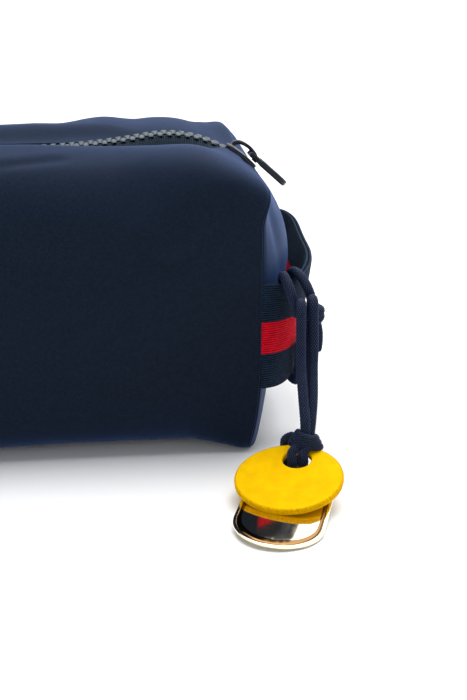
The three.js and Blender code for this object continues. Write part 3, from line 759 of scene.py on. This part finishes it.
def make_shell():
    front = (math.pi * 1.5 - BASE_EDGE, math.pi / 2 + TOP_EDGE, FRONT_CREASES)
    back = (BASE_EDGE - math.pi / 2, math.pi / 2 - TOP_EDGE, BACK_CREASES)
    base = (-math.pi / 2 - BASE_EDGE, -math.pi / 2 + BASE_EDGE, [])
    for inset in (0.0, LINING_INSET):
        long_panel("front", *front, inset=inset)
        long_panel("back", *back, flip=-1, inset=inset)
        long_panel("base", *base, flip=-1, inset=inset)
        end_wall("right_end", 1, inset)
        end_wall("left_end", -1, inset)


# ---- zip
def make_zip_line():
    tilt = np.radians(np.arange(84, -10, -1.0))
    arc = np.stack((ARC_X + END_ARC * np.sin(tilt), ARC_Z + END_ARC * np.cos(tilt)), -1)
    run_x = np.arange(ARC_START, 0.5, -1.0)
    right = np.concatenate((arc, np.stack((run_x, zip_height(run_x)), -1)))
    left = right * (-1, 1)
    return np.concatenate((left, [(0.0, float(zip_height(0.0)))], right[::-1]))


ZIP_LINE = make_zip_line()
ZIP_AT = arc_lengths(ZIP_LINE)
ZIP_LENGTH = ZIP_AT[-1]
ZIP_RUN = np.gradient(ZIP_LINE, axis=0)
ZIP_RUN /= np.linalg.norm(ZIP_RUN, axis=1)[:, None]


def zip_point(along, across, above):
    """A point of the zip: distance along it, across it, and above its tape."""
    x, z, run_x, run_z = (np.interp(along, ZIP_AT, column) for column in (*ZIP_LINE.T, *ZIP_RUN.T))
    offset = above - TAPE_DEPTH - TAPE_CROWN * across ** 2
    return np.stack((x - run_z * offset, across + 0 * x, z + run_x * offset), -1)


def zip_tape(name, way, node):
    along = np.linspace(0.5, ZIP_LENGTH - 0.5, 420)
    across = way * np.concatenate((np.linspace(2.9, 4.6, 9), np.linspace(5.2, TAPE_REACH, 11)))
    u, v = np.meshgrid(along, across, indexing="ij")
    bead = 0.55 * np.exp(-((np.abs(v) - 3.6) / 0.55) ** 2)
    edge = np.interp(u, ZIP_AT, np.abs(ZIP_LINE[:, 0]))
    slope = 1.12 * lip_drop(edge) * smooth((np.abs(v) - 3.9) / 5.0)
    points = zip_point(u, v, 0.25 + bead - slope)
    if way < 0:
        points, across = points[:, ::-1], across[::-1]
    piece = grid(name, points, TAPE_LOOK, "bag", along, across)
    settle(piece, node)
    thicken(piece, TAPE)


# One moulded tooth, root to nose: across from the middle, half width along, half height.
TOOTH_RINGS = [
    (4.6, 0.7, 0.9), (4.4, 1.0, 1.3), (3.6, 1.12, 1.5), (2.6, 1.1, 1.5), (1.9, 0.85, 1.42), (1.2, 0.62, 1.3),
    (0.5, 0.66, 1.3), (-0.3, 0.93, 1.42), (-0.8, 0.86, 1.32), (-1.05, 0.55, 0.9),
]


def rounded_ring(half_width, half_height, corner=0.42, steps=3):
    ring = []
    corner = min(corner, half_width * 0.8, half_height * 0.8)
    for quarter in range(4):
        sign_w = 1 if quarter in (0, 3) else -1
        sign_h = 1 if quarter in (0, 1) else -1
        for step in range(steps + 1):
            angle = (quarter + step / steps) * math.pi / 2
            ring.append((sign_w * (half_width - corner) + corner * math.cos(angle),
                         sign_h * (half_height - corner) + corner * math.sin(angle)))
    return np.array(ring)


def zip_solid(rings, places, way):
    """Closed solids lofted through rings of (across, half width, half height) at places along the zip."""
    outline = np.stack([rounded_ring(width, height) for _, width, height in rings])
    across = np.array([ring[0] for ring in rings])[:, None]
    shell = tube_faces(*outline.shape[:2])
    if way < 0:
        shell = [face[::-1] for face in shell]
    points, all_faces = [], []
    for at in places:
        start = len(points) * outline[..., 0].size
        along = at + outline[..., 0]
        side = way * across + 0 * along
        points.append(zip_point(along, side, outline[..., 1] + TAPE_CROWN * side ** 2).reshape(-1, 3))
        all_faces += [[index + start for index in face] for face in shell]
    return np.concatenate(points), all_faces


def zip_piece(name, rings, places, way, node):
    points, faces = zip_solid(rings, places, way)
    settle(add_mesh(name, points, faces, TEETH_LOOK, "bag"), node)


def make_zip():
    top_stop = [(3.9, 1.1, 1.0), (3.6, 1.6, 1.5), (1.1, 1.6, 1.5), (0.75, 1.2, 1.1)]
    bottom_stop = [(3.7, 1.1, 1.0), (3.4, 1.65, 1.5), (-3.4, 1.65, 1.5), (-3.7, 1.1, 1.0)]
    for side, way, start in (("front", -1, 0.0), ("back", 1, TOOTH_PITCH / 2)):
        zip_tape(f"zip_tape_{side}", way, f"zipper_tape_{side}")
        count = int((ZIP_LENGTH - 14 - start) / TOOTH_PITCH)
        places = 6.95 + start + np.arange(count) * TOOTH_PITCH
        zip_piece(f"zip_teeth_{side}", TOOTH_RINGS, places, way, f"zipper_teeth_{side}")
        zip_piece(f"zip_top_stop_{side}", top_stop, [ZIP_LENGTH - 2.75], way, f"zipper_top_stop_{side}")
    zip_piece("zip_bottom_stop", bottom_stop, [2.75], 1, "zipper_bottom_stop")


# ---- slider and pull
def slab(outline, low, high, bevel, cuts=()):
    """A flat plate with rounded edges from an outline, cut across so that it can bend."""
    work = bmesh.new()
    ring = [work.verts.new((x, y, low)) for x, y in outline]
    face = work.faces.new(ring)
    top = bmesh.ops.extrude_face_region(work, geom=[face])
    raised = [v for v in top["geom"] if isinstance(v, bmesh.types.BMVert)]
    bmesh.ops.translate(work, vec=(0, 0, high - low), verts=raised)
    bmesh.ops.recalc_face_normals(work, faces=work.faces)
    rims = [e for e in work.edges if abs(e.verts[0].co.z - e.verts[1].co.z) < 1e-6]
    bmesh.ops.bevel(work, geom=rims, offset=bevel, segments=3, affect="EDGES", profile=0.5)
    for x in cuts:
        everything = work.verts[:] + work.edges[:] + work.faces[:]
        bmesh.ops.bisect_plane(work, geom=everything, plane_co=(x, 0, 0), plane_no=(1, 0, 0))
    points = np.array([v.co[:] for v in work.verts])
    faces = [[v.index for v in f.verts] for f in work.faces]
    work.free()
    return points, faces


def merge(*shells):
    points, faces, start = [], [], 0
    for shell_points, shell_faces in shells:
        points.append(shell_points)
        faces += [[index + start for index in face] for face in shell_faces]
        start += len(shell_points)
    return np.concatenate(points), faces


def on_slider(points):
    """Local (down the zip, across, above the tape) to the bag, bent round the end's arc."""
    angle = SLIDER_TILT + points[:, 0] / END_ARC
    radius = END_ARC - TAPE_DEPTH + points[:, 2]
    x = ARC_X + radius * np.sin(angle)
    return np.stack((x, points[:, 1], ARC_Z + radius * np.cos(angle)), -1)


def oval(half_length, half_width, power, count=40):
    """An oval outline that squares up as its power grows."""
    angles = (np.arange(count) + 0.5) * ROUND / count
    c, s = np.cos(angles), np.sin(angles)
    x = half_length * np.copysign(np.abs(c) ** (2 / power), c)
    y = half_width * np.copysign(np.abs(s) ** (2 / power), s)
    return list(zip(x.tolist(), y.tolist()))


def make_slider():
    """Two plates with side lips round the teeth, a post between them, and the crown for the pull."""
    tooth = TOOTH_HEIGHT / 2 + 0.35
    cuts = np.linspace(-6, 6, 9)
    plate = oval(PLATE_HALF_LENGTH, PLATE_HALF_WIDTH, 3.2)
    shoulders = [(x, y * (1 - 0.028 * (x + PLATE_HALF_LENGTH))) for x, y in plate]
    parts = [slab(shoulders, tooth, tooth + PLATE_THICK, 0.4, cuts)]
    parts.append(slab(shoulders, -tooth - PLATE_THICK, -tooth, 0.4, cuts))
    for way in (-1, 1):
        lip = [(x, way * 4.35 + 0.1 * y) for x, y in oval(5.9, 4.0, 4)]
        parts.append(slab(lip, tooth - 0.75, tooth + 0.4, 0.15, cuts))
        parts.append(slab(lip, -tooth - 0.4, -tooth + 0.75, 0.15, cuts))
    parts.append(slab(oval(1.4, 0.3, 2.4, 20), -tooth - 0.2, tooth + 0.2, 0.05))
    points, faces = merge(*parts)
    body = add_mesh("slider_body", on_slider(points), faces, SLIDER_LOOK, "slider")
    settle(body, "zipper_slider")
    base = tooth + PLATE_THICK + 0.47
    turns = np.linspace(0, math.pi, 33)
    path = np.stack((CROWN_HALF * np.cos(turns), base + CROWN_RISE * np.sin(turns) ** 0.72), -1)
    ring = rounded_ring(0.72, 1.35, corner=0.55, steps=4)
    rings = []
    for index, (along, above) in enumerate(path):
        run = path[min(index + 1, len(path) - 1)] - path[max(index - 1, 0)]
        run = run / np.linalg.norm(run)
        thick = ring[:, 0] * (1.25 - 0.4 * math.sin(turns[index]))
        rings.append(np.stack((along + run[1] * thick, ring[:, 1], above - run[0] * thick), -1))
    arch = np.array(rings)
    faces = tube_faces(*arch.shape[:2])
    crown = add_mesh("slider_crown", on_slider(arch.reshape(-1, 3)), faces, SLIDER_LOOK, "slider")
    settle(crown, "zipper_slider_crown")


def rounded_end(inset, bend):
    """The pull's free end, an inset inside its outline."""
    half = PULL_WIDTH / 2
    return [(PULL_LENGTH - half + (half - inset) * math.cos(a), (half - inset) * math.sin(a)) for a in bend]


def pull_rim(level, bend):
    """The raised rim round the sunk panel of one face, as a flattened tube."""
    side_y = PULL_WIDTH / 2 - PULL_RIM
    foot = [(PULL_PANEL, side_y), (PULL_PANEL, -side_y)]
    outline = [foot[1], *rounded_end(PULL_RIM, bend), *foot]
    path = spline([(x, y, level) for x, y in outline], 0.5)
    side, other = frames(path)
    turns = np.linspace(0, ROUND, 12, endpoint=False)[:, None]
    ring = path[:, None] + 0.5 * (side[:, None] * np.cos(turns) + other[:, None] * np.sin(turns))
    ring[..., 2] = level + (ring[..., 2] - level) * 0.6
    return ring.reshape(-1, 3), tube_faces(*ring.shape[:2])


def make_pull():
    """The pull hangs from its pin: a forked tab with a rounded end and a sunk panel on each face."""
    half = PULL_WIDTH / 2
    bend = np.linspace(-math.pi / 2, math.pi / 2, 25)
    outline = [(-FORK_LIP, -half + 0.5), (-0.2, -half), (4.0, -half), *rounded_end(0, bend)]
    outline += [(4.0, half), (-0.2, half), (-FORK_LIP, half - 0.5), (-FORK_LIP, FORK_HALF)]
    outline += [(FORK_DEPTH, FORK_HALF), (FORK_DEPTH, -FORK_HALF), (-FORK_LIP, -FORK_HALF)]
    plate = slab(outline, PULL_FOOT + 0.25, PULL_TOP - 0.25, 0.2)
    rims = [pull_rim(level, bend) for level in (PULL_FOOT + 0.3, PULL_TOP - 0.3)]
    boss = [(9 + x, y) for x, y in oval(3.2, (half - 2 * PULL_RIM) * 0.75, 2.2)]
    grip = slab(boss, PULL_FOOT + 0.1, PULL_TOP - 0.1, 0.15)
    pin_turns = np.linspace(0, ROUND, 16, endpoint=False)
    pin = [[(PIN_RADIUS * math.cos(a), y, PIN_RADIUS * math.sin(a)) for a in pin_turns]
           for y in np.linspace(-half + 0.6, half - 0.6, 6)]
    pin_shell = (np.array(pin).reshape(-1, 3), tube_faces(6, 16))
    points, faces = merge(plate, *rims, grip, pin_shell)
    pin_place = np.array(next(j["pos_m"] for j in frame["joints"] if j["name"] == "pull_swing")) / MM
    down = np.array((math.cos(PULL_TILT), 0, -math.sin(PULL_TILT)))
    away = np.array((math.sin(PULL_TILT), 0, math.cos(PULL_TILT)))
    world = pin_place + points[:, :1] * down + points[:, 1:2] * (0, 1, 0) + points[:, 2:] * away
    settle(add_mesh("slider_pull", world, faces, SLIDER_LOOK, "pull"), "zipper_pull")


# ---- strap
def strap_point(turn, rise):
    """The strap's outer face: it leans back at its top, and the cord's loops pinch its upper edge."""
    bulge = STRAP_BULGE + STRAP_FLARE * rise
    y = (HALF_DEPTH - 0.2) * np.sin(turn)
    climb = STRAP_CLIMB * smooth((y + 5) / 42)
    skew = 2.6 * rise * np.exp(-((y - 30) / 17) ** 2)
    x = HALF_LENGTH + STRAP_ROOT + (bulge - STRAP_ROOT) * np.abs(np.cos(turn)) ** 0.9 + skew
    pinch = 1.7 * rise ** 3 * np.exp(-((y + 50) / 7) ** 2)
    return np.stack((x, y, STRAP_BOTTOM + STRAP_WIDTH * rise + climb - pinch), -1)


def strap_layer(name, depth_out, depth_in):
    """A band with ribs along it and rounded selvedges, as a closed loop of its width."""
    rises = np.linspace(0, 1, 231)
    depth = (depth_out + depth_in) / 2
    half = (depth_in - depth_out) / 2
    rib = 0.09 * np.sin(ROUND * rises * STRAP_WIDTH / RIB)
    edge = np.minimum(rises, 1 - rises) * STRAP_WIDTH
    plump = half * np.sqrt(np.clip(1 - (1 - np.clip(edge / SELVEDGE, 0, 1)) ** 2, 0.02, 1))
    loop_rise = np.concatenate((rises, rises[::-1]))
    loop_out = np.concatenate((plump + rib, -(plump + rib)[::-1]))
    turns = np.linspace(-1, 1, 181) * STRAP_TURN
    turn, rise = np.meshgrid(turns, loop_rise, indexing="ij")
    step = 1e-3
    along = strap_point(turn + step, rise) - strap_point(turn - step, rise)
    up = strap_point(turn, rise + step) - strap_point(turn, rise - step)
    out = np.cross(along, up)
    out /= np.linalg.norm(out, axis=-1)[..., None]
    ripple = 0.12 * np.sin(turn * 9 + rise * 5) * np.cos(rise * 7 + 1)
    points = strap_point(turn, rise) + out * (loop_out - depth + ripple)[..., None]
    lengths = arc_lengths(strap_point(turns, np.full_like(turns, 0.5)))
    across = np.append(loop_rise, loop_rise[0]) * STRAP_WIDTH
    piece = grid(name, points, STRAP_LOOK, "bag", lengths, across, loop_v=True, caps=True)
    settle(piece, name)


def make_strap():
    second = WEBBING + LAYER_GAP
    strap_layer("strap_outer_webbing", 0.0, WEBBING)
    strap_layer("strap_inner_webbing", second, second + WEBBING)


# ---- lanyard, from the foot of the front right fold
HITCH_FRONT = [
    (14.6, 6.5, 38), (15.2, 8.5, 31), (15.8, 10.8, 25.6), (15.4, 13.6, 21.8), (13.6, 15.6, 22.6),
    (11.9, 15, 27), (11.2, 13.6, 36), (10.4, 12.2, 46), (9.6, 10.6, 56), (8.9, 7.6, 61.6),
    (8.7, 4, 63.2), (9.2, 0.6, 62), (10.2, -1.6, 59), (11.4, -2.5, 55), (12.6, -2.2, 50.5),
]
HITCH_REAR = [
    (17.4, 9.5, 40), (17.6, 11.5, 32), (17.6, 13.6, 26), (17, 16.6, 22), (15.4, 18.6, 22.8),
    (13.9, 18.4, 27), (13.2, 17.4, 36), (12.8, 16.4, 46), (12.6, 15, 56), (12.4, 12.4, 61.6),
    (13.2, 8.8, 63.4), (14.9, 5, 62.4), (16.6, 1.8, 59.4), (17.7, 0.6, 55.5), (17.6, 0.6, 51),
]
STRAND_LEFT = [
    (13.4, -2.6, 50.5), (13.4, -3.2, 54), (13.2, -4.8, 56.2), (12.9, -7.2, 55), (12.6, -8.8, 50.5),
    (12.2, -11.4, 43.5), (11.8, -14.6, 36.6), (11.6, -20.4, 29), (11.5, -25.2, 22.8), (11.5, -26.2, 19),
    (11.4, -26.2, 16),
]
STRAND_RIGHT = [
    (17.4, -0.6, 50.5), (17.4, -1.2, 54.6), (17.4, -3, 57), (17.3, -5.6, 55.8), (17.2, -7.2, 50.5),
    (16.9, -9.8, 42.5), (16.2, -12.8, 35.6), (15.2, -18.8, 28), (14.0, -23.4, 22.4), (13.4, -25, 19),
    (12.9, -25.4, 16),
]
STRAND_MIDDLE = [
    (15.3, -4.4, 50), (15.2, -4.9, 46.5), (15, -5.6, 41), (14.4, -8.4, 34.5), (13, -15, 27.6),
    (12.2, -20.8, 22.4), (12.2, -23, 19), (12.2, -23.4, 16.4),
]
EYE_X = 8.0
EYE = [(-27.6, 14.6), (-29.4, 12.6), (-30.6, 10.2), (-31.2, 6), (-30.2, 3), (-27.2, 1.95), (-22.6, 1.95),
       (-19.6, 4.2), (-18.7, 9), (-19.2, 13), (-21.4, 15.4)]


def lanyard_cord(name, points, diameter, body, node):
    piece, path = braided(name, FOLD_FOOT + np.array(points), diameter, body)
    settle(piece, node)


def make_knot(name, path, diameter, node, taper=0.0):
    piece, _ = braided(name, FOLD_FOOT + path, diameter, "lanyard", taper)
    settle(piece, node)
    return piece


def make_knots():
    """The collar flares from its neck down to two tips; the side knot has a short cut tail."""
    drop = np.linspace(0, 1, 46)
    turns = 3.15 * ROUND * drop + 2.5
    x, y = (2.6 + 2.3 * drop ** 0.8) * np.cos(turns), (2.0 + 0.3 * drop) * np.sin(turns)
    path = COLLAR_PLACE + np.stack((x, y, 2.0 - 4.2 * drop - 0.26 * x), -1)
    collar = make_knot("knot_collar", path, 2.6, "lower_knot")
    climb = np.linspace(-1, 1, 36)
    turns = 2.6 * ROUND * (climb + 1) / 2 + 0.6
    x, y = 2.0 * np.cos(turns), 2.2 * np.sin(turns)
    path = SIDE_KNOT_PLACE + np.stack((x, y, 2.7 * climb + 0.35 * x), -1)
    make_knot("knot_side", path, 3.1, "upper_knot")
    path = ((19.6, 0.2, 48), (20.3, 0, 44.6), (20.5, -0.6, 41), (20.4, -1.2, 37.4))
    make_knot("knot_tail", path, 3.0, "upper_knot_tail", taper=0.45)
    return collar


def make_lanyard():
    collar = make_knots()
    lanyard_cord("hitch_cord_front", HITCH_FRONT, CORD, "bag", "cord_loop_front")
    lanyard_cord("hitch_cord_rear", HITCH_REAR, CORD, "bag", "cord_loop_rear")
    for side, points in (("left", STRAND_LEFT), ("right", STRAND_RIGHT), ("middle", STRAND_MIDDLE)):
        lanyard_cord(f"strand_{side}", points, CORD, "lanyard", f"cord_strand_{side}")
    for side, shift in (("left", -1.9), ("right", 1.9)):
        points = [(EYE_X + shift + 0.45 * (y < -27 and z > 9) + 2.6 * (z > 14), y, z) for y, z in EYE]
        lanyard_cord(f"eye_cord_{side}", points, CORD - 0.3, "lanyard", f"cord_eye_{side}")


# ---- disc and tag
def capsule_reach(directions, near, far, radius):
    """Distance from the origin to a capsule outline between two points of the Y axis, per direction."""
    low, high = np.zeros(len(directions)), np.full(len(directions), 80.0)
    for _ in range(44):
        middle = (low + high) / 2
        point = directions * middle[:, None]
        y = np.clip(point[:, 1], min(near, far), max(near, far))
        inside = np.hypot(point[:, 0], point[:, 1] - y) < radius
        low, high = np.where(inside, middle, low), np.where(inside, high, middle)
    return low


def holed_plate(name, length, radius, profile, look, body, place, turn, tilt, warp=0.0, roll=0.0):
    """A plate round a hole at its origin. Its profile's rows are (kind, distance, height, flag)."""
    near, far = RIM - radius, RIM - length + radius
    angles = np.linspace(0, ROUND, PLATE_SIDES, endpoint=False)
    directions = np.stack((np.cos(angles), np.sin(angles)), -1)
    rows = []
    for kind, distance, height, _ in profile:
        if kind == "hole":
            reach = np.full(len(angles), HOLE + distance)
        elif kind == "rim":
            reach = capsule_reach(directions, near, far, radius - distance)
        else:
            inner, outer = HOLE + 1.0, capsule_reach(directions, near, far, radius - 1.9)
            reach = inner + (outer - inner) * distance
        x, y = (directions * reach[:, None]).T
        lift = warp * np.sin(x / 9 + 0.7) * np.cos(y / 11)
        if roll:
            lift = lift - smooth((-y - 14) / 14) * (roll * x + x ** 2 / (2 * BOW_RADIUS))
        rows.append(np.stack((x, y, height + lift), -1))
    turn, tilt = math.radians(turn), math.radians(tilt)
    x, y, z = np.moveaxis(np.array(rows), -1, 0)
    y, z = y * math.cos(tilt) - z * math.sin(tilt), y * math.sin(tilt) + z * math.cos(tilt)
    x, y = x * math.cos(turn) - y * math.sin(turn), x * math.sin(turn) + y * math.cos(turn)
    world = np.stack((x, y, z), -1) + FOLD_FOOT + np.array(place)
    flags = [row[3] for row in profile]
    flags.append(flags[0])
    no_across = np.zeros(PLATE_SIDES + 1)
    return grid(name, world[::-1], look, body, flags[::-1], no_across, loop_u=True, loop_v=True)


def face_rows(height, count):
    """Rows spread over a plate's face, from its hole to its rim."""
    return [("share", step / count, height, 0) for step in range(count + 1)]


def make_disc():
    top, middle = DISC_THICK, DISC_THICK / 2
    profile = [("hole", 0.35, top - 0.02, 0), *face_rows(top, 8), ("rim", 0.9, top, 0),
               ("rim", 0.35, top - 0.05, 0), ("rim", 0.08, top - 0.3, 1), ("rim", 0.0, middle + 0.4, 1),
               ("rim", 0.0, middle - 0.4, 1), ("rim", 0.1, 0.28, 1), ("rim", 0.4, 0.04, 0),
               *face_rows(0, 4)[::-1], ("hole", 0.35, 0.04, 0), ("hole", 0.0, 0.3, 1),
               ("hole", 0.0, middle, 1), ("hole", 0.0, top - 0.3, 1)]
    piece = holed_plate("leather_disc_piece", 2 * DISC_RADIUS, DISC_RADIUS, profile, LEATHER_LOOK, "disc",
                        DISC_PLACE, DISC_TURN, DISC_TILT, warp=0.18)
    settle(piece, "leather_disc")


def make_tag():
    """The tag has an engraved line inside its rim."""
    top = TAG_THICK
    profile = [("hole", 0.1, top, 0), *face_rows(top, 10), ("rim", 1.5, top - 0.02, 1),
               ("rim", 1.4, top - 0.18, 1), ("rim", 1.15, top - 0.18, 1), ("rim", 1.05, top - 0.02, 1),
               ("rim", 0.95, top, 0), ("rim", 0.22, top, 0), ("rim", 0.06, top - 0.08, 0),
               ("rim", 0.0, top - 0.25, 0), ("rim", 0.0, 0.2, 0), ("rim", 0.1, 0.03, 0),
               ("rim", 0.25, 0, 0), *face_rows(0, 4)[::-1], ("hole", 0.1, 0, 0),
               ("hole", 0.0, 0.1, 0), ("hole", 0.0, top - 0.1, 0)]
    piece = holed_plate("metal_tag_piece", TAG_LENGTH, TAG_WIDTH / 2, profile, GOLD_LOOK, "tag",
                        TAG_PLACE, TAG_TURN, TAG_TILT, roll=TAG_ROLL)
    settle(piece, "metal_tag")


# ---- inside of the bag
def finish_inside():
    binding = inner_cloth("binding_tape", (0.012, 0.02, 0.04), (0.03, 0.045, 0.08))
    for name, node in frame["nodes"].items():
        if name.startswith("seam_binding_"):
            node.data.materials.clear()
            node.data.materials.append(binding)


CLOTH_LOOK = nylon("navy_nylon", (0.0045, 0.0075, 0.0126), (0.0105, 0.0155, 0.025))
LINING_LOOK = inner_cloth("lining_cloth", (0.035, 0.05, 0.09), (0.07, 0.09, 0.15))
TAPE_LOOK = twill_tape("zip_tape_weave", (0.003, 0.008, 0.015), (0.035, 0.055, 0.08))
TEETH_LOOK = moulded("zip_teeth_plastic", (0.02, 0.038, 0.05), 0.28, coat=0.12)
SLIDER_LOOK = moulded("slider_lacquer", (0.002, 0.006, 0.012), 0.3, coat=0.02)
STRAP_LOOK = webbing("striped_webbing", 0.335, 0.64)
CORD_LOOK = paracord("braided_cord")
LEATHER_LOOK = leather("yellow_leather")
GOLD_LOOK = polished_gold("gold_plate")

make_camera()
make_studio()
make_lanyard()
make_shell()
make_zip()
make_slider()
make_pull()
make_strap()
make_disc()
make_tag()
finish_inside()
